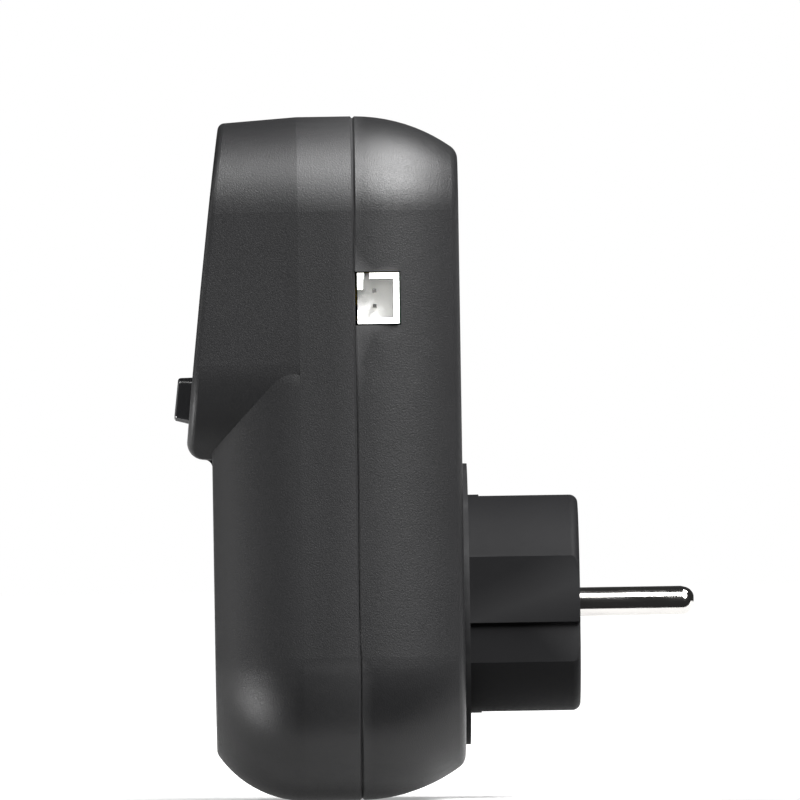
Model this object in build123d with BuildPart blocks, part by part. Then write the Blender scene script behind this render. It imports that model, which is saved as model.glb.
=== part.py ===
from build123d import *
import os
from math import sqrt, tan, radians, cos, sin

os.makedirs("parts", exist_ok=True)

# Smart plug with a switched socket.  Millimetres, +Z up, +Y along the plug pins.
# Origin: plug axis on the rear face of the plug's flange, which meets the wall outlet.

# ---- housing -------------------------------------------------------------------
width = 62.0                # across the flanks
top_z = 81.5                # crown of the housing above the plug axis
bottom_z = -32.4            # lowest point of the housing
top_corner = 16.0           # corner radii of the front view
bottom_corner = 24.0
seam_y = -18.3              # plane where the two shells meet
back_y = -0.9               # rear face of the rear cover
rear_crown = 28.0           # profile radius of the rear cover's edges
rear_edge = 2.6             # rounding where crown and rear face meet
wall = 2.0

# ---- lower body, round the socket -------------------------------------------------
face_y = -42.4              # front face around the socket
face_tangent_y = -27.6      # where the flank starts to curve in
face_crown = 17.5           # profile radius of that curve
face_edge = 1.6             # rounding at the edge of the front face
lower_top_z = 56.5          # upper end of the lower body, hidden in the hood
lower_top_corner = 20.0

# ---- hood ----------------------------------------------------------------------
hood_y = -27.6              # where the hood's draft starts
hood_draft = 4.0            # degrees
hood_corner = 19.0          # lower corners of the hood
chin_z = 25.0               # underside of the hood at the front
chin_slope = 5.0            # degrees, underside falls toward the rear
hood_face_y = -46.3         # sloping face at hood_face_z
hood_face_z = 29.0
hood_tilt = 6.55            # degrees, sloping face from the vertical
hood_bulge = 0.35           # the face swells by this much at its middle
chin_round = 2.7
hood_edge = 1.2
cove = 1.4                  # inside rounding under the chin

# ---- socket --------------------------------------------------------------------
recess_r = 19.6             # socket recess
recess_depth = 17.5
cup_wall = 1.4
cup_floor = 2.0
pin_pitch = 19.0            # between the two pins or contacts
contact_play = 0.05         # between a pin and its contact, on the radius
pin_hole_play = 0.6
contact_wall = 0.8
contact_length = 12.6
shutter_gap = 2.4           # room for the shutter behind the socket floor
shutter_thick = 1.8
shutter_travel = 6.4
shutter_top = 4.6
spring_r = 0.85
spring_wire_r = 0.15
post_inset = 2.4            # carrier posts, in from the rim of the socket cup
post_r = 1.8
ear_half = 3.0              # ears that hold the cup in the front shell

# ---- plug ----------------------------------------------------------------------
pin_r = 2.4
pin_length = 19.0
pin_shank = 6.0             # part of the pin held inside the plug face
shank_step = 0.4            # the shank is this much thicker, on the radius
plug_r = 18.25
plug_length = 18.4
plug_wall = 2.0
plug_face = 3.2
flange_r = 23.5
flat_cut = 1.8              # depth of the upper flat on the plug's flanks
low_flat_cut = 2.85         # depth of the lower flat, below the step
flat_top_z = 7.9
flat_step_z = -3.1
flat_low_z = -9.75
earth_hole_z = 10.0
earth_wall = 0.6
plug_edge = 1.4

# ---- sensor header ---------------------------------------------------------------
header_z = 51.0
header_w = 8.4              # along Z
header_h = 6.9              # along Y
header_depth = 10.0         # along X
header_wall = 0.93
header_well = 6.0           # depth of the open well, along X
header_stub_high = 2.7      # what the side toward the seam has left, at each end
header_stub_low = 2.3
header_slot = 0.9           # keying slot in the upper wall
header_slot_at = 1.1
header_pitch = 2.54
header_gap = 0.25           # visible gap to the rear cover

# ---- button --------------------------------------------------------------------
button_z = 34.6
button_w = 12.0             # across X
button_h = 7.9              # at its foot
button_draft = 8.0          # degrees
button_proud = 2.7
button_travel = 0.5
button_gap = 0.3

# ---- boards and fixings -----------------------------------------------------------
board_thick = 1.6
power_front_y = -11.0       # component side of the power board
power_low_z = 31.5
control_half_w = 15.0
control_low_z = 30.0
control_top_z = top_z - 8.5
control_depth = 7.2         # from the sloping face in to the control board
screw_r = 1.5
screw_head_r = 2.9
boss_r = 3.4
boss_upper = (width / 2 - 12.0, top_z - 12.5)
boss_lower = (width / 2 - 10.5, 27.5)
light_z = top_z - 19.5

screw_x = control_half_w - 3.5
control_screws_at = [(x, z) for z in (46.0, control_top_z - 5.0) for x in (-screw_x, screw_x)]
power_screws_at = ((-21.0, 45.0), (21.0, 40.0), (-8.0, top_z - 9.0), (8.0, top_z - 9.0))
small_screw_r = 1.1
small_head_r = 1.9
standoff_r = 2.2
bar_w = 3.0
bar_thick = 0.8
seam_bevel = 0.35
lip_root = 3.0              # depth of the cover's lip in the cover
lip_reach = 1.5             # and past the seam
lip_root_thick = 0.9
lip_thick = 1.2
plunger_r = 1.7
light_r = 1.5
screw_sunk = 6.0            # seat of the case screws below the rear face

clear = 0.1                 # between pieces that are pushed together

# ---- sizes that follow from the ones above -----------------------------------------
half_w = width / 2
pin_x = pin_pitch / 2
pin_hole_r = pin_r + pin_hole_play
contact_bore_r = pin_r + contact_play
earth_sleeve_r = pin_r + contact_play
shank_r = pin_r + shank_step
flat_x = plug_r - flat_cut
low_flat_x = plug_r - low_flat_cut


def at_y(y):
    """Plane across the plug axis: local x is +X, local y is +Z, it faces the front."""
    return Plane.XZ.offset(-y)


def bulge(radius, t):
    """How far an edge of this profile radius has come in after a depth of t."""
    return radius - sqrt(radius ** 2 - t ** 2)


def disc(r, y0, y1, x=0.0, z=0.0, mode=Mode.ADD):
    with BuildSketch(at_y(y1)) as sk:
        with Locations((x, z)):
            Circle(r)
    extrude(sk.sketch, amount=y1 - y0, mode=mode)


def block(x0, x1, y0, y1, z0, z1, mode=Mode.ADD, corner=0.0):
    with BuildSketch(at_y(y1)) as sk:
        with Locations(((x0 + x1) / 2, (z0 + z1) / 2)):
            if corner:
                RectangleRounded(x1 - x0, z1 - z0, corner)
            else:
                Rectangle(x1 - x0, z1 - z0)
    extrude(sk.sketch, amount=y1 - y0, mode=mode)


def outline(y, inset, low=bottom_z, high=top_z, low_r=bottom_corner, high_r=top_corner):
    """Rounded outline of the housing on the plane at y, moved in by inset."""
    with BuildSketch(at_y(y)) as sk:
        with Locations((0, (low + high) / 2)):
            Rectangle(2 * (half_w - inset), high - low - 2 * inset)
        fillet(sk.vertices().group_by(Axis.Y)[-1], high_r - inset)
        fillet(sk.vertices().group_by(Axis.Y)[0], low_r - inset)
    return sk.sketch


def lower_body(inset):
    """Straight skirt from the seam, then the flank curving in to the front face."""
    ends = dict(high=lower_top_z, high_r=lower_top_corner)
    reach = face_tangent_y - face_y - inset
    steps = [reach * k for k in (0, 0.3, 0.55, 0.75, 0.9, 1.0)]
    with BuildPart() as body:
        extrude(outline(seam_y, inset, **ends), amount=seam_y - face_tangent_y)
        loft([outline(face_tangent_y - t, inset + bulge(face_crown - inset, t), **ends)
              for t in steps])
    return body.part


def hood(inset):
    """Drafted hood cut by the sloping face and its rounded chin."""
    slope = tan(radians(hood_tilt))
    face_in = inset / cos(radians(hood_tilt))
    over = top_z + 10
    y_over = hood_face_y + (over - hood_face_z) * slope + face_in
    y_chin = hood_face_y + (chin_z + inset - hood_face_z) * slope + face_in
    z_rear = chin_z + inset - (hood_y + 6 - y_chin) * tan(radians(chin_slope))
    mid = Vector((y_over + y_chin) / 2, (over + chin_z + inset) / 2)
    with BuildPart() as part:
        ends = dict(low=z_rear - 1.5, low_r=hood_corner)
        reach = hood_y - hood_face_y + 4
        drawn_in = reach * tan(radians(hood_draft))
        loft([outline(hood_y, inset, **ends), outline(hood_y - reach, inset + drawn_in, **ends)],
             ruled=True)
        with BuildSketch(Plane.YZ.offset(-half_w - 1)) as side:
            with BuildLine():
                Polyline((y_over, over), (hood_y + 6, over), (hood_y + 6, z_rear),
                         (y_chin, chin_z + inset))
                ThreePointArc((y_chin, chin_z + inset), (mid.X - hood_bulge, mid.Y),
                              (y_over, over))
            make_face()
            fillet(side.vertices().sort_by(Axis.X)[0], chin_round - 0.7 * inset)
        extrude(side.sketch, amount=width + 2, mode=Mode.INTERSECT)
    return part.part


# Plane of the sloping face at the button: local x is +X, local y runs up the face.
tilt_y, tilt_z = cos(radians(hood_tilt)), sin(radians(hood_tilt))


def on_face(z, depth, x=0.0):
    """Plane parallel to the sloping face at height z, this far in from it."""
    y = hood_face_y + (z - hood_face_z) * tan(radians(hood_tilt))
    return Plane((x, y + depth * tilt_y, z - depth * tilt_z), x_dir=(1, 0, 0),
                 z_dir=(0, -tilt_y, tilt_z))


# ---- planes that follow from the sizes above -------------------------------------
recess_floor_y = face_y + recess_depth
cup_back_y = recess_floor_y + cup_floor
cup_r = recess_r + cup_wall
carrier_y = cup_back_y + shutter_gap          # front of the contact carrier
carrier_plate = 1.5
contact_y = carrier_y + carrier_plate         # front end of the contacts
contact_r = contact_bore_r + contact_wall
contact_end_y = contact_y + contact_length
inner_back_y = back_y - wall
power_back_y = power_front_y + board_thick
cover_hole_r = plug_r - 0.25
retainer_thick = 1.5
bar_y = contact_end_y + 0.5                   # front of the current bars
button_top = -button_proud                    # depths in from the sloping face
flange_in = wall + clear
flange_out = flange_in + 1.1
switch_in = flange_out + button_travel + 0.2
header_x = half_w - header_depth
ear_x = cup_r + ear_half                      # screws of the cup's ears
cove_half = half_w - hood_corner + 5.0


# ---- shells --------------------------------------------------------------------
with BuildPart() as lower_form:
    add(lower_body(0))
    fillet(lower_form.faces().sort_by(Axis.Y)[0].edges(), face_edge)

with BuildPart() as hood_form:
    add(hood(0))
    front = hood_form.faces().filter_by(lambda f: f.center().Y < hood_face_y + 6)
    fillet(front.sort_by(SortBy.AREA)[-1].edges(), hood_edge)

chin_tan = tan(radians(chin_slope))
with BuildPart() as form:
    extrude(outline(seam_y, 0), amount=seam_y - hood_y)
    add(lower_form.part)
    add(hood_form.part)
    # cove between the chin and the front face below it
    chin_y = hood_face_y + (chin_z - hood_face_z) * tan(radians(hood_tilt))
    cove_z = chin_z - (face_y - chin_y) * chin_tan
    with BuildSketch(Plane.YZ.offset(-cove_half)) as corner:
        with BuildLine():
            Polyline((face_y - cove, cove_z + cove * chin_tan), (face_y + 0.5, cove_z + 0.5),
                     (face_y, cove_z - cove))
            RadiusArc((face_y, cove_z - cove), (face_y - cove, cove_z + cove * chin_tan), -cove)
        make_face()
    extrude(corner.sketch, amount=2 * cove_half)
    chamfer(form.edges().filter_by_position(Axis.Y, seam_y - 0.01, seam_y + 0.01), seam_bevel)

# bosses and posts that grow from the front wall
with BuildPart() as front_posts:
    for side in (-1, 1):
        for x, z in (boss_upper, boss_lower):
            disc(boss_r, hood_face_y, seam_y, side * x, z)
        disc(standoff_r, hood_face_y, recess_floor_y, side * ear_x, 0)
    for x, z in control_screws_at:
        with BuildSketch(on_face(z, control_depth, x)) as post:
            Circle(standoff_r)
        extrude(post.sketch, amount=control_depth + 6)
    add(form.part, mode=Mode.INTERSECT)

with BuildPart() as front_shell:
    add(form.part)
    extrude(outline(seam_y, wall), amount=seam_y - hood_y, mode=Mode.SUBTRACT)
    add(lower_body(wall), mode=Mode.SUBTRACT)
    add(hood(wall), mode=Mode.SUBTRACT)
    add(front_posts.part)
    for side in (-1, 1):
        for x, z in (boss_upper, boss_lower):
            disc(screw_r, seam_y - 10, seam_y, side * x, z, mode=Mode.SUBTRACT)
        disc(small_screw_r, recess_floor_y - 6, recess_floor_y, side * ear_x, 0,
             mode=Mode.SUBTRACT)
    for x, z in control_screws_at:
        with BuildSketch(on_face(z, control_depth, x)) as pilot:
            Circle(small_screw_r)
        extrude(pilot.sketch, amount=control_depth - wall - 0.6, mode=Mode.SUBTRACT)
    # socket opening, button opening, light opening
    disc(recess_r, face_y - 1, face_y + wall + 1, mode=Mode.SUBTRACT)
    with BuildSketch(on_face(button_z, wall + 1)) as opening:
        RectangleRounded(button_w + 2 * button_gap, button_h + 2 * button_gap, 1.8)
    extrude(opening.sketch, amount=wall + 4, mode=Mode.SUBTRACT)
    with BuildSketch(on_face(light_z, wall + 1)) as opening:
        Circle(light_r + clear / 2)
    extrude(opening.sketch, amount=wall + 4, mode=Mode.SUBTRACT)


def cover_form(inset):
    """Rear cover: flank curving in to the rear face."""
    reach = back_y - seam_y - inset
    steps = [reach * k for k in (0, 0.25, 0.5, 0.75, 1.0)]
    with BuildPart() as body:
        loft([outline(seam_y + t, inset + bulge(rear_crown - inset, t)) for t in steps])
    return body.part


# lip that centres the cover in the front shell, thinner at its root in the cover
with BuildPart() as lip:
    extrude(outline(seam_y + lip_root, wall + clear), amount=lip_root + lip_reach)
    extrude(outline(seam_y, wall + lip_thick), amount=lip_reach, mode=Mode.SUBTRACT)
    extrude(outline(seam_y + lip_root, wall + lip_root_thick), amount=lip_root,
            mode=Mode.SUBTRACT)

# bosses and board posts that grow from the rear wall
with BuildPart() as rear_posts:
    for side in (-1, 1):
        for x, z in (boss_upper, boss_lower):
            disc(boss_r + 0.8, seam_y, back_y - 1, side * x, z)
    for x, z in power_screws_at:
        disc(standoff_r, power_back_y, back_y - 1, x, z)

with BuildPart() as rear_cover:
    add(cover_form(0))
    fillet(rear_cover.faces().sort_by(Axis.Y)[-1].edges(), rear_edge)
    chamfer(rear_cover.edges().filter_by_position(Axis.Y, seam_y - 0.01, seam_y + 0.01),
            seam_bevel)
    add(cover_form(wall), mode=Mode.SUBTRACT)
    add(lip.part)
    add(rear_posts.part)
    for side in (-1, 1):
        for x, z in (boss_upper, boss_lower):
            disc(screw_r + clear, seam_y, back_y, side * x, z, mode=Mode.SUBTRACT)
            disc(screw_head_r + clear, back_y - screw_sunk, back_y, side * x, z,
                 mode=Mode.SUBTRACT)
    for x, z in power_screws_at:
        disc(small_screw_r, power_back_y, back_y - 1.2, x, z, mode=Mode.SUBTRACT)
    disc(cover_hole_r + clear, inner_back_y - 1, back_y + 1, mode=Mode.SUBTRACT)
    # notch for the sensor header, open at the seam
    block(half_w - wall - 4, half_w + 1, seam_y - 2, power_front_y + header_gap,
          header_z - header_w / 2 - header_gap, header_z + header_w / 2 + header_gap,
          mode=Mode.SUBTRACT)


# ---- socket --------------------------------------------------------------------
post_x = pin_x + 5.5
post_z = sqrt((cup_r - post_inset) ** 2 - post_x ** 2)
clip_z = recess_r - 1.5                       # middle of the earth clips
spring_top = clip_z - 3.1
spring_length = spring_top - shutter_top

with BuildPart() as recess_bore:
    disc(recess_r - 0.9, face_y, recess_floor_y)

with BuildPart() as socket_cup:
    disc(cup_r, face_y + wall, cup_back_y)
    disc(recess_r, face_y + wall - 1, recess_floor_y, mode=Mode.SUBTRACT)
    for side in (-1, 1):
        disc(pin_hole_r, recess_floor_y - 1, cup_back_y + 1, side * pin_x, 0, mode=Mode.SUBTRACT)
        # ribs that guide a plug by its flanks
        block(side * (recess_r - 0.6) - 1.4, side * (recess_r - 0.6) + 1.4, face_y + wall + 2,
              recess_floor_y + 0.5, -2.5, 2.5)
        block(-2.9, 2.9, recess_floor_y - 1, cup_back_y + 1, side * clip_z - 0.6,
              side * clip_z + 0.6, mode=Mode.SUBTRACT)
        for up in (-1, 1):
            disc(post_r, cup_back_y, carrier_y, side * post_x, up * post_z)
            disc(small_screw_r, recess_floor_y + 0.7, carrier_y, side * post_x, up * post_z,
                 mode=Mode.SUBTRACT)
        # ears that are screwed to the front shell
        block(side * (ear_x - 1.5) - ear_half, side * (ear_x - 1.5) + ear_half, recess_floor_y,
              cup_back_y, -ear_half, ear_half)
        disc(small_screw_r, recess_floor_y, cup_back_y, side * ear_x, 0, mode=Mode.SUBTRACT)
    block(-2.5, 2.5, cup_back_y, carrier_y, spring_top, spring_top + 1.4)
    add(recess_bore.part, mode=Mode.SUBTRACT)

shutter_mid_y = (cup_back_y + carrier_y) / 2
with BuildPart() as shutter_slider:
    half_x = post_x - post_r - 0.4
    block(-half_x, half_x, shutter_mid_y - shutter_thick / 2, shutter_mid_y + shutter_thick / 2,
          -shutter_travel - pin_hole_r - 2.0, shutter_top, corner=1.0)
    for side in (-1, 1):
        disc(pin_hole_r + 0.2, shutter_mid_y - 2, shutter_mid_y + 2, side * pin_x,
             -shutter_travel, mode=Mode.SUBTRACT)
        # ramp that a pin pushes against to lift the shutter
        with BuildSketch(Plane.YZ.offset(side * pin_x - 2.2)) as ramp:
            with BuildLine():
                Polyline((shutter_mid_y - shutter_thick / 2, -1.0),
                         (shutter_mid_y - shutter_thick / 2, 2.2),
                         (shutter_mid_y + shutter_thick / 2 - 0.6, -1.0), close=True)
            make_face()
        extrude(ramp.sketch, amount=4.4, mode=Mode.SUBTRACT)

with BuildPart() as shutter_spring:
    with BuildLine() as coil:
        Helix(pitch=spring_length / 9.0, height=spring_length - 2 * spring_wire_r - 0.1,
              radius=spring_r, center=(0, shutter_mid_y, shutter_top + spring_wire_r + 0.05))
    with BuildSketch(Plane(coil.line @ 0, z_dir=coil.line % 0)):
        Circle(spring_wire_r)
    sweep(path=coil.line)

with BuildPart() as contact_carrier:
    block(-post_x - 3, post_x + 3, carrier_y, contact_y, -post_z - 3, post_z + 3, corner=2.5)
    for side in (-1, 1):
        disc(contact_r + 1.3, contact_y, contact_end_y + 0.3, side * pin_x, 0)
        disc(pin_hole_r, carrier_y - 1, contact_y + 1, side * pin_x, 0, mode=Mode.SUBTRACT)
        disc(contact_r, contact_y, contact_end_y + 1, side * pin_x, 0, mode=Mode.SUBTRACT)
        for up in (-1, 1):
            disc(small_screw_r, carrier_y, contact_y, side * post_x, up * post_z,
                 mode=Mode.SUBTRACT)
            disc(small_head_r + clear, contact_y, contact_end_y + 1, side * post_x, up * post_z,
                 mode=Mode.SUBTRACT)
    # slots for the solder tabs
    block(-pin_x - contact_r - 3, -pin_x - contact_r + 1, bar_y - 1.4, contact_end_y + 1,
          -bar_w / 2 - 0.2, bar_w / 2 + 0.2, mode=Mode.SUBTRACT)
    block(pin_x - bar_w / 2 - 0.2, pin_x + bar_w / 2 + 0.2, bar_y - 1.4, contact_end_y + 1,
          contact_r - 1, contact_r + 3, mode=Mode.SUBTRACT)


def contact(side, tab):
    """Slotted spring sleeve with a solder tab given as (x0, x1, z0, z1)."""
    with BuildPart() as sleeve:
        disc(contact_r, contact_y, contact_end_y, side * pin_x, 0)
        block(tab[0], tab[1], bar_y - 1.0, bar_y, tab[2], tab[3])
        disc(contact_bore_r, contact_y - 1, bar_y + 1, side * pin_x, 0, mode=Mode.SUBTRACT)
        block(side * pin_x - 0.3, side * pin_x + 0.3, contact_y, contact_y + 8,
              -contact_r - 1, contact_r + 1, mode=Mode.SUBTRACT)
    return sleeve.part


tab_in = contact_bore_r + 0.4
out_x0, out_x1 = -pin_x - contact_r - 3.3, -pin_x - contact_r - 0.8
with BuildPart() as socket_contact_live:
    add(contact(-1, (out_x0, -pin_x - tab_in, -bar_w / 2, bar_w / 2)))
with BuildPart() as socket_contact_neutral:
    add(contact(1, (pin_x - bar_w / 2, pin_x + bar_w / 2, tab_in, contact_r + 3.8)))

with BuildPart() as carrier_screws:
    for side in (-1, 1):
        for up in (-1, 1):
            disc(small_screw_r, recess_floor_y + 1.0, contact_y, side * post_x, up * post_z)
            disc(small_head_r, contact_y, contact_y + 1.2, side * post_x, up * post_z)

with BuildPart() as cup_screws:
    for side in (-1, 1):
        disc(small_screw_r, recess_floor_y - 5.5, cup_back_y, side * ear_x, 0)
        disc(small_head_r, cup_back_y, cup_back_y + 1.2, side * ear_x, 0)

with BuildPart() as socket_earth_bracket:
    block(-2.5, 2.5, contact_y, contact_y + 0.8, -clip_z - 0.3, clip_z + 0.3)
    for side in (-1, 1):
        z = side * clip_z
        block(-2.5, 2.5, face_y + 4.5, contact_y + 0.4, z - 0.3, z + 0.3)

# ---- plug ----------------------------------------------------------------------


def plug_body(inset, y0, y1, edge=0.0):
    """Round plug body with stepped flats on both flanks."""
    with BuildPart() as body:
        disc(plug_r - inset, y0, y1)
        if edge:
            fillet(body.faces().sort_by(Axis.Y)[-1].edges(), edge)
        for side in (-1, 1):
            for flat, low, high in ((flat_x, flat_step_z, flat_top_z),
                                    (low_flat_x, flat_low_z, flat_step_z + inset)):
                x = side * (flat - inset + 5)
                block(x - 5, x + 5, y0, y1, low, high, mode=Mode.SUBTRACT)
    return body.part


hollow_r = plug_r - plug_wall
hollow_end = plug_length - plug_face
shank_y = plug_length - pin_shank
earth_bar_y = 2.0
plug_clip_z = plug_r - 1.25
plug_boss_at = [(x, z) for x in (-5.5, 5.5) for z in (-hollow_r + 3.05, hollow_r - 3.05)]

# hollow of the plug, with the bosses of its screws left out
with BuildPart() as plug_hollow:
    add(plug_body(plug_wall, inner_back_y, hollow_end))
    for x, z in plug_boss_at:
        disc(small_head_r + 0.4, inner_back_y, 8, x, z, mode=Mode.SUBTRACT)

with BuildPart() as plug_insert:
    add(plug_body(0, 0, plug_length, plug_edge))
    disc(flange_r, back_y, 0)
    disc(cover_hole_r, inner_back_y, back_y)
    add(plug_hollow.part, mode=Mode.SUBTRACT)
    for x, z in plug_boss_at:
        disc(small_screw_r, inner_back_y, 7, x, z, mode=Mode.SUBTRACT)
    for side in (-1, 1):
        disc(shank_r, hollow_end - 1, plug_length + 1, side * pin_x, 0, mode=Mode.SUBTRACT)
        z = side * (plug_clip_z + 0.9)
        block(-3.0, 3.0, earth_bar_y - clear, plug_length + 1, z - 2.0, z + 2.0,
              mode=Mode.SUBTRACT)
    disc(earth_sleeve_r + earth_wall, hollow_end - 1, plug_length + 1, 0, earth_hole_z,
         mode=Mode.SUBTRACT)

# one pin on the plug axis, with a rounded tip
pin_tip_y = plug_length + pin_length
with BuildPart() as one_pin:
    with BuildSketch(Plane.XY) as profile:
        with BuildLine():
            Polyline((0, shank_y), (shank_r, shank_y), (shank_r, plug_length),
                     (pin_r, plug_length), (pin_r, pin_tip_y - 1.7))
            ThreePointArc((pin_r, pin_tip_y - 1.7), (pin_r - 0.62, pin_tip_y - 0.45),
                          (pin_r - 1.4, pin_tip_y))
            Polyline((pin_r - 1.4, pin_tip_y), (0, pin_tip_y), (0, shank_y))
        make_face()
    revolve(axis=Axis.Y)

with BuildPart() as plug_pins:
    with Locations((-pin_x, 0, 0), (pin_x, 0, 0)):
        add(one_pin.part)

with BuildPart() as plug_earth_bracket:
    block(-2.5, 2.5, earth_bar_y, earth_bar_y + 0.8, -plug_clip_z - 0.4, plug_clip_z + 0.4)
    for side in (-1, 1):
        z = side * plug_clip_z
        block(-2.5, 2.5, earth_bar_y + 0.4, plug_length - 1.5, z - 0.4, z + 0.4)

with BuildPart() as plug_earth_sleeve:
    disc(earth_sleeve_r + earth_wall, earth_bar_y + 0.8, plug_length - 0.2, 0, earth_hole_z)
    disc(earth_sleeve_r, earth_bar_y + 2.0, plug_length, 0, earth_hole_z, mode=Mode.SUBTRACT)

with BuildPart() as plug_retainer:
    disc(cover_hole_r + 3.0, inner_back_y - retainer_thick, inner_back_y)
    disc(hollow_r - 0.35, inner_back_y - retainer_thick - 1, inner_back_y + 1,
         mode=Mode.SUBTRACT)
    for x, z in plug_boss_at:
        disc(small_head_r + 0.4, inner_back_y - retainer_thick, inner_back_y, x, z)
        disc(small_screw_r, inner_back_y - retainer_thick - 1, inner_back_y + 1, x, z,
             mode=Mode.SUBTRACT)

with BuildPart() as plug_screws:
    for x, z in plug_boss_at:
        disc(small_screw_r, inner_back_y - retainer_thick, 6.5, x, z)
        disc(small_head_r, inner_back_y - retainer_thick - 1.1, inner_back_y - retainer_thick,
             x, z)

# ---- current bars ----------------------------------------------------------------
foot_z = power_low_z + 3.0
bar_end_y = bar_y + bar_thick
lead_z = pin_r + 1.6


def board_foot(x0, x1):
    """Upper end of a bar, turned forward through the power board."""
    block(x0, x1, power_front_y - 1.0, bar_end_y, foot_z - bar_thick, foot_z)


def pin_bar(side):
    """Bar from a plug pin to the power board."""
    x0, x1 = side * pin_x - bar_w / 2, side * pin_x + bar_w / 2
    with BuildPart() as bar:
        block(x0, x1, bar_y, bar_end_y, lead_z, foot_z)
        block(x0, x1, bar_y, shank_y, lead_z, lead_z + bar_thick)
        block(x0, x1, shank_y - bar_thick, shank_y, -bar_w / 2, lead_z + bar_thick)
        board_foot(x0, x1)
    return bar.part


with BuildPart() as line_in_bar:
    add(pin_bar(-1))
with BuildPart() as neutral_bar:
    add(pin_bar(1))
with BuildPart() as line_out_bar:
    block(out_x0, out_x1, bar_y, bar_end_y, -bar_w / 2, foot_z)
    board_foot(out_x0, out_x1)
with BuildPart() as earth_link:
    block(-2.0, 2.0, contact_y + 0.8, earth_bar_y, -0.4, 0.4)

# ---- boards --------------------------------------------------------------------
relay_box = (-25.0, -6.0, 47.8, 62.8, 15.0)        # x0, x1, z0, z1, height off the board
transformer_box = (-4.5, 13.5, 50.0, 66.0, 14.0)
x_cap_box = (0.5, 17.5, 36.6, 45.8, 12.0)
fuse_r, fuse_length, fuse_at = 2.6, 10.0, (-12.5, 40.6)
varistor_r, varistor_thick, varistor_at = 4.5, 3.6, (-3.4, 41.0)
smoothing_r, smoothing_height, smoothing_at = 4.0, 12.0, (18.4, 60.0)
link_pitch, link_count, link_x, link_z = 2.54, 4, 0.0, 48.0
link_end_y = (hood_face_y + (link_z - hood_face_z) * tan(radians(hood_tilt))
              + (control_depth + board_thick) / tilt_y + clear)


def part_on_board(box, corner=0.0, rim=0.0):
    """Boxed component standing on the power board."""
    x0, x1, z0, z1, height = box
    with BuildPart() as body:
        block(x0, x1, power_front_y - height, power_front_y, z0, z1, corner=corner)
        if rim:
            fillet(body.faces().sort_by(Axis.Y)[0].edges(), rim)
    return body.part


with BuildPart() as power_board:
    board_inset = wall + bulge(rear_crown - wall, power_back_y - seam_y) + 0.8
    extrude(outline(power_back_y, board_inset), amount=board_thick)
    block(-half_w, half_w, power_front_y - 1, power_back_y + 1, bottom_z - 5, power_low_z,
          mode=Mode.SUBTRACT)
    for side in (-1, 1):
        for x, z in (boss_upper, boss_lower):
            disc(boss_r + 1.1, power_front_y - 1, power_back_y + 1, side * x, z,
                 mode=Mode.SUBTRACT)
    for x, z in power_screws_at:
        disc(small_screw_r + clear, power_front_y - 1, power_back_y + 1, x, z,
             mode=Mode.SUBTRACT)
    for x0, x1 in ((-pin_x - bar_w / 2, -pin_x + bar_w / 2),
                   (pin_x - bar_w / 2, pin_x + bar_w / 2), (out_x0, out_x1)):
        block(x0 - clear, x1 + clear, power_front_y - 1, power_back_y + 1,
              foot_z - bar_thick - clear, foot_z + clear, mode=Mode.SUBTRACT)

with BuildPart() as relay:
    add(part_on_board(relay_box, corner=0.8, rim=0.6))
with BuildPart() as transformer:
    add(part_on_board(transformer_box, corner=1.0))
    x0, x1, z0, z1, height = transformer_box
    for z in (z0 - 0.1, z1 - 2.4):
        block(x0 - 1, x1 + 1, power_front_y - height - 1, power_front_y - height + 2.5, z, z + 2.5,
              mode=Mode.SUBTRACT)
with BuildPart() as x_capacitor:
    add(part_on_board(x_cap_box, corner=0.5))
with BuildPart() as smoothing_capacitor:
    x, z = smoothing_at
    disc(smoothing_r, power_front_y - smoothing_height, power_front_y, x, z)
    fillet(smoothing_capacitor.faces().sort_by(Axis.Y)[0].edges(), 0.5)
    disc(smoothing_r + 1, power_front_y - 2.2, power_front_y - 1.6, x, z, mode=Mode.SUBTRACT)
    disc(smoothing_r - 0.4, power_front_y - 2.3, power_front_y - 1.5, x, z)
with BuildPart() as fuse:
    x, z = fuse_at
    with BuildSketch(Plane.YZ.offset(x - fuse_length / 2)) as end:
        with Locations((power_front_y - fuse_r, z)):
            Circle(fuse_r)
    extrude(end.sketch, amount=fuse_length)
    with BuildSketch(Plane.YZ.offset(x - fuse_length / 2 + 2)) as middle:
        with Locations((power_front_y - fuse_r, z)):
            Circle(fuse_r + 1)
            Circle(fuse_r - 0.3, mode=Mode.SUBTRACT)
    extrude(middle.sketch, amount=fuse_length - 4, mode=Mode.SUBTRACT)
with BuildPart() as varistor:
    x, z = varistor_at
    with BuildSketch(Plane.YZ.offset(x - varistor_thick / 2)) as side_view:
        with Locations((power_front_y - varistor_r - 0.8, z)):
            Circle(varistor_r)
        with Locations((power_front_y - varistor_r / 2, z)):
            Rectangle(varistor_r, 3.0)
    extrude(side_view.sketch, amount=varistor_thick)

with BuildPart() as board_screws:
    for x, z in power_screws_at:
        disc(small_screw_r, power_front_y, back_y - 1.3, x, z)
        disc(small_head_r, power_front_y - 1.2, power_front_y, x, z)

with BuildPart() as housing_screws:
    for side in (-1, 1):
        for x, z in (boss_upper, boss_lower):
            disc(screw_r, seam_y - 9.5, back_y - screw_sunk, side * x, z)
            disc(screw_head_r, back_y - screw_sunk, back_y - screw_sunk + 2.0, side * x, z)
            block(side * x - 1.8, side * x + 1.8, back_y - screw_sunk + 1.0,
                  back_y - screw_sunk + 3, z - 0.4, z + 0.4, mode=Mode.SUBTRACT)
            block(side * x - 0.4, side * x + 0.4, back_y - screw_sunk + 1.0,
                  back_y - screw_sunk + 3, z - 1.8, z + 1.8, mode=Mode.SUBTRACT)

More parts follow.
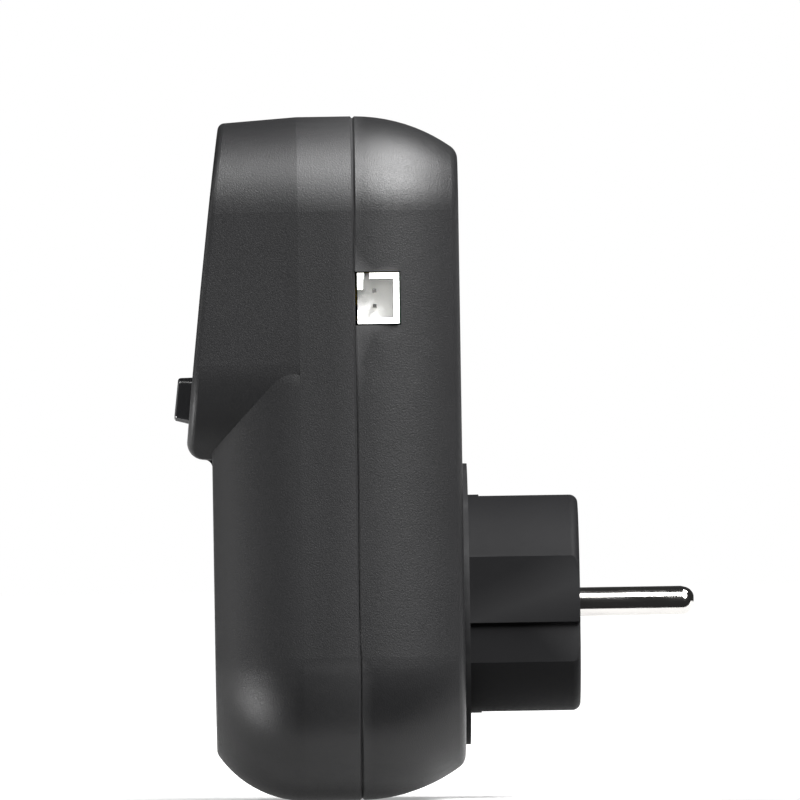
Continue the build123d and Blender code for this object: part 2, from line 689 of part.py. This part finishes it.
# ---- sensor header ---------------------------------------------------------------
header_front = power_front_y - header_h
header_low, header_high = header_z - header_w / 2, header_z + header_w / 2
header_floor_x = half_w - header_well
header_mid_y = (header_front + power_front_y) / 2 - 0.6
with BuildPart() as sensor_header_housing:
    block(header_x, half_w, header_front, power_front_y, header_low, header_high)
    block(header_floor_x, half_w + 1, header_front + header_wall, power_front_y - header_wall,
          header_low + header_wall, header_high - header_wall, mode=Mode.SUBTRACT)
    # the side toward the seam is open between two stubs, and the upper wall is slotted
    block(header_floor_x, half_w + 1, header_front - 1, header_front + header_wall + 1,
          header_low + header_stub_low, header_high - header_stub_high, mode=Mode.SUBTRACT)
    block(header_floor_x + 1, half_w + 1, header_front + header_slot_at,
          header_front + header_slot_at + header_slot, header_high - header_wall - 0.5,
          header_high + 1, mode=Mode.SUBTRACT)
    for side in (-1, 1):
        block(header_x - 1, header_floor_x + 1, header_mid_y - 0.32, header_mid_y + 0.32,
              header_z + side * header_pitch / 2 - 0.32, header_z + side * header_pitch / 2 + 0.32,
              mode=Mode.SUBTRACT)
with BuildPart() as sensor_header_pins:
    for side in (-1, 1):
        z = header_z + side * header_pitch / 2
        block(header_x - 1.2, half_w - 1.4, header_mid_y - 0.32, header_mid_y + 0.32, z - 0.32,
              z + 0.32)
        block(header_x - 1.84, header_x - 1.2, header_mid_y - 0.32, power_back_y + 0.8, z - 0.32,
              z + 0.32)

# ---- control board -----------------------------------------------------------------
chip_span = (36.0, 43.0, -3.5, 3.5)                # z0, z1, x0, x1
radio_span = (52.0, 70.0, -8.0, 8.0)
shield_span = (53.0, 65.0, -6.5, 6.5)
switch_half = 3.0
led_half = 1.4


def on_control(depth, z0, z1, x0, x1, thick, mode=Mode.ADD, corner=0.2):
    """Block standing thick mm toward the sloping face from the given depth."""
    z = (z0 + z1) / 2
    with BuildSketch(on_face(z, depth, (x0 + x1) / 2)) as sk:
        RectangleRounded(x1 - x0, z1 - z0, corner)
    extrude(sk.sketch, amount=thick, mode=mode)


def stub(depth, z, x, r, thick, mode=Mode.ADD):
    with BuildSketch(on_face(z, depth, x)) as sk:
        Circle(r)
    extrude(sk.sketch, amount=thick, mode=mode)


control_back = control_depth + board_thick
with BuildPart() as control_board:
    on_control(control_back, control_low_z, control_top_z, -control_half_w, control_half_w,
               board_thick, corner=1.5)
    for x, z in control_screws_at:
        stub(control_back + 1, z, x, small_screw_r + clear, board_thick + 2, mode=Mode.SUBTRACT)
with BuildPart() as control_screws:
    for x, z in control_screws_at:
        stub(control_back, z, x, small_screw_r, control_back - wall - 1.2)
        stub(control_back + 1.2, z, x, small_head_r, 1.2)
with BuildPart() as tact_switch:
    on_control(control_depth, button_z - switch_half, button_z + switch_half, -switch_half,
               switch_half, control_depth - switch_in)
    stub(control_depth - 0.8, button_z, 0, plunger_r + 0.05, control_depth, mode=Mode.SUBTRACT)
with BuildPart() as tact_plunger:
    stub(control_depth - 0.8 - button_travel - 0.2, button_z, 0, plunger_r,
         control_depth - 0.8 - button_travel - 0.2 - flange_out)
with BuildPart() as button_cap:
    with BuildSketch(on_face(button_z, flange_in)) as shaft:
        RectangleRounded(button_w, button_h, 1.5)
    extrude(shaft.sketch, amount=flange_in)
    with BuildSketch(on_face(button_z, 0)) as foot:
        RectangleRounded(button_w, button_h, 1.5)
    extrude(foot.sketch, amount=button_proud, taper=button_draft)
    fillet(button_cap.faces().sort_by(Axis.Y)[0].edges(), 0.5)
    with BuildSketch(on_face(button_z, flange_out)) as flange:
        RectangleRounded(button_w + 2.4, button_h + 2.4, 2.0)
    extrude(flange.sketch, amount=flange_out - flange_in)
with BuildPart() as controller_chip:
    on_control(control_back + 1.0, *chip_span, 1.0)
with BuildPart() as radio_module:
    on_control(control_back + 0.8, *radio_span, 0.8)
with BuildPart() as radio_shield:
    on_control(control_back + 2.8, *shield_span, 2.0, corner=0.6)
with BuildPart() as status_led:
    on_control(control_depth, light_z - led_half, light_z + led_half, -led_half, led_half, 1.0)
with BuildPart() as light_pipe:
    stub(control_depth - 1.2, light_z, 0, light_r, control_depth - 1.2 + 0.25)
    stub(control_depth - 1.2, light_z, 0, light_r + 0.7, control_depth - 1.2 - wall - 0.1)

with BuildPart() as board_link_pins:
    for k in range(link_count):
        x = link_x + k * link_pitch
        block(x - 0.32, x + 0.32, link_end_y, power_back_y + 0.8, link_z - 0.32, link_z + 0.32)
with BuildPart() as board_link_base:
    block(link_x - 1.27, link_x + (link_count - 0.5) * link_pitch, power_front_y - 2.5,
          power_front_y, link_z - 1.27, link_z + 1.27)
    for k in range(link_count):
        x = link_x + k * link_pitch
        block(x - 0.32, x + 0.32, power_front_y - 3, power_front_y + 1, link_z - 0.32,
              link_z + 0.32, mode=Mode.SUBTRACT)
with BuildPart() as drilled:
    add(power_board.part)
    for k in range(link_count):
        disc(0.5, power_front_y - 1, power_back_y + 1, link_x + k * link_pitch, link_z,
             mode=Mode.SUBTRACT)
    for side in (-1, 1):
        disc(0.5, power_front_y - 1, power_back_y + 1, header_x - 1.52,
             header_z + side * header_pitch / 2, mode=Mode.SUBTRACT)
power_board = drilled

nodes = dict(
    front_shell=front_shell, rear_cover=rear_cover, socket_cup=socket_cup,
    shutter_slider=shutter_slider, shutter_spring=shutter_spring,
    contact_carrier=contact_carrier, socket_contact_live=socket_contact_live,
    socket_contact_neutral=socket_contact_neutral, carrier_screws=carrier_screws,
    cup_screws=cup_screws, socket_earth_bracket=socket_earth_bracket, plug_insert=plug_insert,
    plug_pins=plug_pins, plug_earth_bracket=plug_earth_bracket,
    plug_earth_sleeve=plug_earth_sleeve, plug_retainer=plug_retainer, plug_screws=plug_screws,
    line_in_bar=line_in_bar, neutral_bar=neutral_bar, line_out_bar=line_out_bar,
    earth_link=earth_link, power_board=power_board, relay=relay, transformer=transformer,
    x_capacitor=x_capacitor, smoothing_capacitor=smoothing_capacitor, fuse=fuse,
    varistor=varistor, board_screws=board_screws, housing_screws=housing_screws,
    sensor_header_housing=sensor_header_housing, sensor_header_pins=sensor_header_pins,
    control_board=control_board, control_screws=control_screws, tact_switch=tact_switch,
    tact_plunger=tact_plunger, button_cap=button_cap, controller_chip=controller_chip,
    radio_module=radio_module, radio_shield=radio_shield, status_led=status_led,
    light_pipe=light_pipe, board_link_pins=board_link_pins, board_link_base=board_link_base)
for name, piece in nodes.items():
    piece.part.label = name
    export_step(piece.part, "parts/" + name + ".step")
    print(name, piece.part.is_valid, len(piece.part.solids()), round(piece.part.volume, 1))
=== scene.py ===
import bpy
import math
from mathutils import Vector, Matrix


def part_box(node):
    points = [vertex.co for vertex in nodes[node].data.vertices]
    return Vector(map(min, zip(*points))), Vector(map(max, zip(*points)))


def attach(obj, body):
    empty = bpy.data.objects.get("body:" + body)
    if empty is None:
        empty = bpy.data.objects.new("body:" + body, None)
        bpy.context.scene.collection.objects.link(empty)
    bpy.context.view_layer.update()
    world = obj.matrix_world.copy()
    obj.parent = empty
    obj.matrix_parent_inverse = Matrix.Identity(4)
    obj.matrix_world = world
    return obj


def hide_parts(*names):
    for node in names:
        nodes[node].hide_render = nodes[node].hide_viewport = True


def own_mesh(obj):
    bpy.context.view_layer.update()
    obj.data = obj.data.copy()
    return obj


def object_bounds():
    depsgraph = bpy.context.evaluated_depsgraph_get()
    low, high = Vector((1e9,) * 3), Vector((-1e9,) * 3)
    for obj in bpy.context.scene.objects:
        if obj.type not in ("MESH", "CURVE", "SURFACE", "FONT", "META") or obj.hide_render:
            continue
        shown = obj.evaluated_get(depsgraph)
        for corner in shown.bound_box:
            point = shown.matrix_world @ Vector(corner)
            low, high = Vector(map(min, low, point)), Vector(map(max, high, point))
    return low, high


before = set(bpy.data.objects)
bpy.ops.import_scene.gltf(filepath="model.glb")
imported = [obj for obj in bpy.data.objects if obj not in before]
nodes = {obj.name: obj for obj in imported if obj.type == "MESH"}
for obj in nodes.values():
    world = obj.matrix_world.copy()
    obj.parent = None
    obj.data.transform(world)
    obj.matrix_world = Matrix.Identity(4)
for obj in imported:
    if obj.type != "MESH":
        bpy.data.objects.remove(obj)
cad_low, cad_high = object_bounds()

# ---- camera: facing the right flank from far off, a little low and toward the front ---
picture_px = 800                        # width and height of the render
sensor_mm = 36.0
distance = 3.0
px_per_mm = 6.0
roll = math.radians(0.9)
near_pin_x = 0.0095
aim = Vector((near_pin_x, -0.0110, 0.0342))
eye = Vector((near_pin_x + distance, -0.030, 0.020))
camera = bpy.data.objects.new("camera", bpy.data.cameras.new("camera"))
bpy.context.scene.collection.objects.link(camera)
camera.data.sensor_width = sensor_mm
camera.data.lens = sensor_mm * px_per_mm * 1000 * (eye - aim).length / picture_px
camera.data.clip_start, camera.data.clip_end = 0.05, 20.0
camera.location = eye
camera.rotation_mode = "QUATERNION"
look = (aim - eye).normalized()
camera.rotation_quaternion = (
    Matrix.Rotation(roll, 3, look).to_quaternion() @ look.to_track_quat("-Z", "Y"))
bpy.context.scene.camera = camera
bpy.context.scene.view_settings.view_transform = "Standard"
bpy.context.scene.view_settings.look = "None"


# ---- materials: texture scales are per metre, bump depths are in metres ---------------
noise_low, noise_high = 0.3, 0.7        # most of a noise texture's values lie between these


def new_material(name):
    """An empty material, its node tree, its shader and the object's own coordinates."""
    mat = bpy.data.materials.new(name)
    mat.use_nodes = True
    tree = mat.node_tree
    shader = tree.nodes["Principled BSDF"]
    place = tree.nodes.new("ShaderNodeTexCoord")
    return mat, tree, shader, place.outputs["Object"]


def noise(tree, coords, scale, detail=3.0, rough=0.55, stretch=None):
    if stretch:
        mapping = tree.nodes.new("ShaderNodeMapping")
        mapping.inputs["Scale"].default_value = stretch
        tree.links.new(coords, mapping.inputs["Vector"])
        coords = mapping.outputs["Vector"]
    tex = tree.nodes.new("ShaderNodeTexNoise")
    tex.inputs["Scale"].default_value = scale
    tex.inputs["Detail"].default_value = detail
    tex.inputs["Roughness"].default_value = rough
    tree.links.new(coords, tex.inputs["Vector"])
    return tex.outputs["Fac"]


def spread(tree, value, low, high, out_low, out_high):
    """Maps low..high onto out_low..out_high."""
    node = tree.nodes.new("ShaderNodeMapRange")
    node.inputs["From Min"].default_value = low
    node.inputs["From Max"].default_value = high
    node.inputs["To Min"].default_value = out_low
    node.inputs["To Max"].default_value = out_high
    tree.links.new(value, node.inputs["Value"])
    return node.outputs["Result"]


def two_tone(tree, value, dark, light):
    ramp = tree.nodes.new("ShaderNodeMix")
    ramp.data_type = "RGBA"
    ramp.inputs["A"].default_value = (*dark, 1)
    ramp.inputs["B"].default_value = (*light, 1)
    tree.links.new(value, ramp.inputs["Factor"])
    return ramp.outputs["Result"]


def noise_spread(tree, value, out_low, out_high):
    return spread(tree, value, noise_low, noise_high, out_low, out_high)


def bump(tree, shader, height, depth):
    node = tree.nodes.new("ShaderNodeBump")
    node.inputs["Strength"].default_value = 1.0
    node.inputs["Distance"].default_value = depth
    tree.links.new(height, node.inputs["Height"])
    tree.links.new(node.outputs["Normal"], shader.inputs["Normal"])


def moulded(name, color, vary=0.12, rough=(0.4, 0.5), grain=2600.0, depth=0.00004, wear=0.0,
            specular=0.5):
    """Moulded plastic: fine spark-eroded grain, slow shade drift, rubbed edges."""
    mat, tree, shader, coords = new_material(name)
    slow = noise(tree, coords, 45.0, 2.0)
    fine = noise(tree, coords, grain, 2.5, 0.6)
    dark = [c * (1 - vary) for c in color]
    light = [min(1.0, c * (1 + vary)) for c in color]
    shade = two_tone(tree, noise_spread(tree, slow, 0.0, 1.0), dark, light)
    if wear:
        geometry = tree.nodes.new("ShaderNodeNewGeometry")
        rubbed = spread(tree, geometry.outputs["Pointiness"], 0.52, 0.62, 0.0, wear)
        mix = tree.nodes.new("ShaderNodeMix")
        mix.data_type = "RGBA"
        mix.inputs["B"].default_value = (*[min(1.0, c * 2.2 + 0.02) for c in color], 1)
        tree.links.new(rubbed, mix.inputs["Factor"])
        tree.links.new(shade, mix.inputs["A"])
        shade = mix.outputs["Result"]
    tree.links.new(shade, shader.inputs["Base Color"])
    tree.links.new(noise_spread(tree, fine, *rough), shader.inputs["Roughness"])
    shader.inputs["Specular IOR Level"].default_value = specular
    bump(tree, shader, fine, depth)
    return mat


def metal(name, color, rough=(0.1, 0.2), brushed=(1, 1, 1), grain=900.0, depth=0.000004):
    """Bare or plated metal: fine marks, drawn out where brushed, and slow tarnish."""
    mat, tree, shader, coords = new_material(name)
    shader.inputs["Metallic"].default_value = 1.0
    lines = noise(tree, coords, grain, 3.0, 0.6, stretch=brushed)
    slow = noise(tree, coords, 160.0, 2.0)
    tree.links.new(two_tone(tree, slow, [c * 0.92 for c in color], color),
                   shader.inputs["Base Color"])
    tree.links.new(noise_spread(tree, lines, *rough), shader.inputs["Roughness"])
    bump(tree, shader, lines, depth)
    return mat


def laminate(name, color):
    """Circuit board: glass weave under coloured lacquer."""
    mat, tree, shader, coords = new_material(name)
    weave = tree.nodes.new("ShaderNodeTexBrick")
    weave.inputs["Scale"].default_value = 900.0
    weave.inputs["Color1"].default_value = (*color, 1)
    weave.inputs["Color2"].default_value = (*[c * 0.8 for c in color], 1)
    weave.inputs["Mortar"].default_value = (*[c * 0.6 for c in color], 1)
    tree.links.new(coords, weave.inputs["Vector"])
    tree.links.new(weave.outputs["Color"], shader.inputs["Base Color"])
    fine = noise(tree, coords, 1500.0)
    tree.links.new(noise_spread(tree, fine, 0.3, 0.42), shader.inputs["Roughness"])
    bump(tree, shader, fine, 0.00001)
    return mat


def clear_plastic(name):
    """Clear acrylic with a faint haze."""
    mat, tree, shader, coords = new_material(name)
    shader.inputs["Transmission Weight"].default_value = 0.85
    shader.inputs["IOR"].default_value = 1.49
    haze = noise(tree, coords, 1400.0)
    tree.links.new(noise_spread(tree, haze, 0.12, 0.3), shader.inputs["Roughness"])
    tree.links.new(two_tone(tree, haze, (0.7, 0.76, 0.8), (0.86, 0.9, 0.93)),
                   shader.inputs["Base Color"])
    bump(tree, shader, haze, 0.00001)
    return mat


black = (0.0032, 0.0032, 0.0034)
shell = moulded("shell_black", black, rough=(0.36, 0.5), grain=4200.0, depth=0.00004, wear=0.5,
               specular=0.17)
smooth_black = moulded("smooth_black", (0.003, 0.003, 0.0032), rough=(0.56, 0.64), grain=1600.0,
                       depth=0.000012, wear=0.3, specular=0.03)
glossy_black = moulded("gloss_black", (0.008, 0.008, 0.0085), rough=(0.1, 0.16), grain=900.0,
                       depth=0.000004, wear=0.2)
white_nylon = moulded("white_nylon", (0.62, 0.62, 0.61), vary=0.03, rough=(0.4, 0.5), grain=1800.0,
                      depth=0.00001)
natural = moulded("natural_nylon", (0.7, 0.69, 0.64), vary=0.05, rough=(0.4, 0.5))
nickel = metal("bright_nickel", (0.36, 0.352, 0.34), rough=(0.07, 0.14), brushed=(1, 0.15, 1))
steel = metal("zinc_steel", (0.6, 0.6, 0.6), rough=(0.25, 0.4))
strip = metal("nickel_strip", (0.7, 0.69, 0.66), rough=(0.18, 0.3), brushed=(1, 0.1, 1))
dark_steel = metal("dark_zinc", (0.16, 0.16, 0.17), rough=(0.3, 0.42))
brass = metal("brass", (0.72, 0.52, 0.25), rough=(0.2, 0.32))
copper = metal("tinned_copper", (0.72, 0.48, 0.34), rough=(0.2, 0.34))
gold = metal("gold_flash", (0.83, 0.62, 0.25), rough=(0.15, 0.25))
green = laminate("green_laminate", (0.02, 0.11, 0.045))
blue = laminate("blue_laminate", (0.015, 0.05, 0.16))

clear = clear_plastic("clear_acrylic")

looks = {
    "front_shell": shell, "rear_cover": shell, "plug_insert": smooth_black,
    "socket_cup": smooth_black, "button_cap": glossy_black, "plug_pins": nickel,
    "sensor_header_housing": white_nylon, "sensor_header_pins": strip,
    "shutter_slider": natural, "contact_carrier": natural, "shutter_spring": steel,
    "socket_contact_live": brass, "socket_contact_neutral": brass, "plug_earth_sleeve": brass,
    "carrier_screws": steel, "cup_screws": steel, "plug_screws": steel, "board_screws": steel,
    "control_screws": steel, "housing_screws": dark_steel, "socket_earth_bracket": strip,
    "plug_earth_bracket": strip, "plug_retainer": smooth_black, "line_in_bar": copper,
    "neutral_bar": copper, "line_out_bar": copper, "earth_link": copper, "power_board": green,
    "control_board": green, "radio_module": blue, "radio_shield": steel,
    "board_link_pins": gold, "light_pipe": clear,
    "board_link_base": moulded("link_base", (0.02, 0.02, 0.02)),
    "relay": moulded("relay_case", (0.012, 0.013, 0.016), rough=(0.2, 0.3)),
    "transformer": moulded("winding_tape", (0.55, 0.36, 0.05), rough=(0.3, 0.45)),
    "x_capacitor": moulded("film_case", (0.55, 0.4, 0.04), rough=(0.35, 0.5)),
    "smoothing_capacitor": moulded("can_sleeve", (0.02, 0.03, 0.09), rough=(0.2, 0.3)),
    "fuse": moulded("fuse_ceramic", (0.75, 0.72, 0.65), rough=(0.3, 0.45)),
    "varistor": moulded("dipped_blue", (0.02, 0.08, 0.3), rough=(0.25, 0.4)),
    "tact_switch": moulded("switch_black", (0.02, 0.02, 0.02)),
    "tact_plunger": moulded("plunger_black", (0.02, 0.02, 0.02)),
    "controller_chip": moulded("chip_black", (0.012, 0.012, 0.012)),
    "status_led": moulded("led_package", (0.8, 0.79, 0.72)),
}
for name, node in nodes.items():
    node.data.materials.clear()
    node.data.materials.append(looks[name])


# ---- shutter spring: round wire wound in the CAD spring's box, fixed to the housing ---
spring_wire_r = 0.00015
spring_turns = 9


def helix_wire(name, low, high, wire_r, turns, steps=20, sides=8):
    """Round wire wound up the Z axis inside the box from low to high, closed at both ends."""
    coil_r = (high.x - low.x) / 2 - wire_r
    rise = high.z - low.z - 2 * wire_r
    count = turns * steps
    verts = []
    for i in range(count + 1):
        turn = 2 * math.pi * i / steps
        out = Vector((math.cos(turn), math.sin(turn), 0))
        centre = Vector(((low.x + high.x) / 2, (low.y + high.y) / 2,
                         low.z + wire_r + rise * i / count))
        for k in range(sides):
            angle = 2 * math.pi * k / sides
            verts.append(centre + out * (coil_r + wire_r * math.cos(angle))
                         + Vector((0, 0, wire_r * math.sin(angle))))
    faces = [tuple(range(sides)), tuple(range(count * sides + sides - 1, count * sides - 1, -1))]
    for i in range(count):
        for k in range(sides):
            a, b = i * sides + k, i * sides + (k + 1) % sides
            faces.append((a, a + sides, b + sides, b))
    mesh = bpy.data.meshes.new(name)
    mesh.from_pydata(verts, [], faces)
    mesh.shade_smooth()
    obj = bpy.data.objects.new(name, mesh)
    bpy.context.scene.collection.objects.link(obj)
    return obj


spring_low, spring_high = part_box("shutter_spring")
spring = helix_wire("shutter_spring_wire", spring_low, spring_high, spring_wire_r, spring_turns)
spring.data.materials.append(steel)
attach(spring, "housing")
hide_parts("shutter_spring")
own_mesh(spring)


# ---- floor and light: the floor glows more further out, to meet the white background ---
floor_gap = 0.0002                      # under the object's lowest point
floor_end_x = 0.034                     # just past the flank, so less light comes up at it
glow_near, glow_far = 0.06, 0.5         # distances at which the glow starts and is full


def stage_plane(name, across, along, z, material):
    mesh = bpy.data.meshes.new(name)
    (x0, x1), (y0, y1) = across, along
    mesh.from_pydata([(x0, y0, z), (x1, y0, z), (x1, y1, z), (x0, y1, z)], [], [(0, 1, 2, 3)])
    obj = bpy.data.objects.new(name, mesh)
    bpy.context.scene.collection.objects.link(obj)
    mesh.materials.append(material)


floor_mat = moulded("floor_white", (0.3, 0.3, 0.3), vary=0.005, rough=(0.85, 0.95),
                    grain=60.0, depth=0.0)
floor_tree = floor_mat.node_tree
floor_shader = floor_tree.nodes["Principled BSDF"]
floor_place = floor_tree.nodes.new("ShaderNodeTexCoord")
reach = floor_tree.nodes.new("ShaderNodeVectorMath")
reach.operation = "LENGTH"
floor_tree.links.new(floor_place.outputs["Object"], reach.inputs[0])
floor_shader.inputs["Emission Color"].default_value = (1, 1, 1, 1)
floor_tree.links.new(
    spread(floor_tree, reach.outputs["Value"], glow_near, glow_far, 0.35, 1.0),
    floor_shader.inputs["Emission Strength"])
stage_plane("floor", (-6.0, floor_end_x), (-3.0, 3.0), cad_low.z - floor_gap, floor_mat)


middle = Vector((0, -0.01, 0.03))       # what every lamp is aimed at


def softbox(name, location, size, power, tall=None, gloss=True):
    """Area light aimed at the object's middle. The light itself never shows in a picture."""
    light = bpy.data.lights.new(name, "AREA")
    light.energy = power
    light.shape = "RECTANGLE"
    light.size = size
    light.size_y = tall or size
    obj = bpy.data.objects.new(name, light)
    bpy.context.scene.collection.objects.link(obj)
    obj.location = location
    obj.rotation_mode = "QUATERNION"
    obj.rotation_quaternion = (middle - Vector(location)).to_track_quat("-Z", "Y")
    obj.visible_camera = False
    obj.visible_glossy = gloss


softbox("key", (0.40, 0.25, 0.62), 0.55, 34.0)
softbox("front_top", (0.45, -0.40, 0.60), 0.4, 5.0)
softbox("front_card", (0.05, -0.9, 0.1), 0.4, 3.0, tall=0.8)
softbox("rear_side", (0.74, 0.44, 0.58), 0.35, 30.0)
softbox("overhead", (0.08, 0.30, 0.75), 0.4, 15.0)
softbox("port_fill", (1.6, -0.05, 0.25), 0.25, 4.0, gloss=False)
softbox("chin_card", (0.30, -0.70, -0.45), 0.35, 14.0)

# The background is white to the camera and lights the object only faintly.
world = bpy.data.worlds.new("studio")
bpy.context.scene.world = world
world.use_nodes = True
world_tree = world.node_tree
background = world_tree.nodes["Background"]
background.inputs["Color"].default_value = (1, 1, 1, 1)
light_path = world_tree.nodes.new("ShaderNodeLightPath")
world_tree.links.new(spread(world_tree, light_path.outputs["Is Camera Ray"], 0.0, 1.0, 0.06, 1.0),
                     background.inputs["Strength"])
